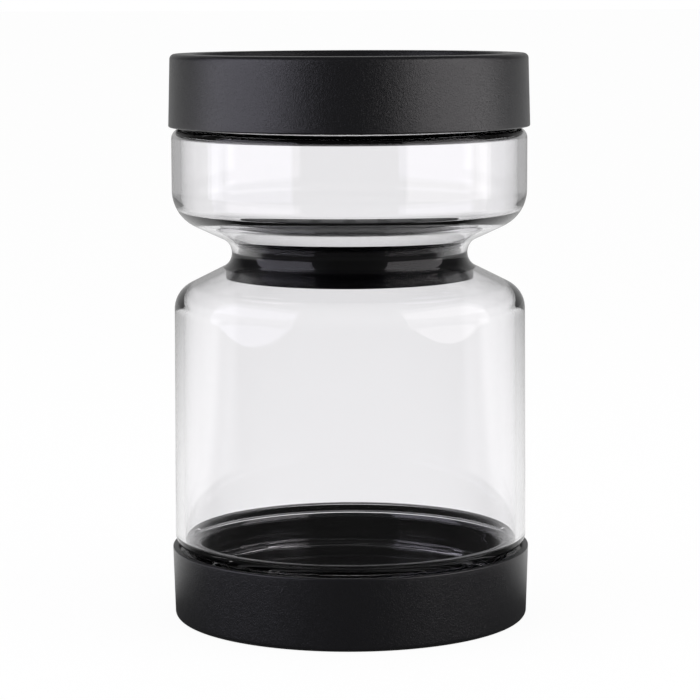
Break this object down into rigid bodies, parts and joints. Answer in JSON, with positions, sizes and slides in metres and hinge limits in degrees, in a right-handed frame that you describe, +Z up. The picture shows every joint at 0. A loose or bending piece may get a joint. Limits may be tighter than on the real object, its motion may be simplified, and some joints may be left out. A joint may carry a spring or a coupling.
{
  "type": "pickle keeper",
  "caption": "Clear glass jar with an hourglass waist, a screw lid on each end and a perforated strainer sealed into the waist, turned over to drain.",
  "frame": {"origin": "centre of the ring that the lower lid stands on", "axes": "+Z up along the axis of the jar, from the large chamber to the small one"},
  "size_m": [0.105, 0.105, 0.165],
  "materials": {
    "glass": "clear, polished",
    "lid_plastic": "matte with a fine moulded grain",
    "liner_plastic": "smooth, glossy",
    "strainer_plastic": "smooth, satin",
    "silicone": "soft, satin"
  },
  "bodies": {
    "base_lid": {"base_lid_cover": "lid_plastic", "base_lid_liner": "liner_plastic"},
    "base_gasket": {"base_lid_gasket": "silicone"},
    "jar": {"glass_body": "glass"},
    "strainer": {"strainer_plate": "strainer_plastic", "strainer_seal": "silicone"},
    "top_gasket": {"top_lid_gasket": "silicone"},
    "top_lid": {"top_lid_cover": "lid_plastic", "top_lid_liner": "liner_plastic"}
  },
  "joints": [
    {"name": "jar_lift", "type": "slide", "parent": "base_lid", "child": "base_gasket", "axis": [0, 0, 1], "range_m": [0, 0.018]},
    {"name": "jar_turn", "type": "hinge", "parent": "base_gasket", "child": "jar", "pos_m": [0, 0, 0.015], "axis": [0, 0, 1], "range_deg": [0, 1440]},
    {"name": "strainer_drop", "type": "slide", "parent": "jar", "child": "strainer", "axis": [0, 0, -1], "range_m": [0, 0.085]},
    {"name": "top_lid_lift", "type": "slide", "parent": "jar", "child": "top_gasket", "axis": [0, 0, 1], "range_m": [0, 0.018]},
    {"name": "top_lid_turn", "type": "hinge", "parent": "top_gasket", "child": "top_lid", "pos_m": [0, 0, 0.15], "axis": [0, 0, 1], "range_deg": [0, 1440]}
  ],
  "couplings": [
    {"joint": "jar_lift", "follows": "jar_turn", "m_per_rad": 0.0007162},
    {"joint": "top_lid_lift", "follows": "top_lid_turn", "m_per_rad": 0.0007162}
  ]
}
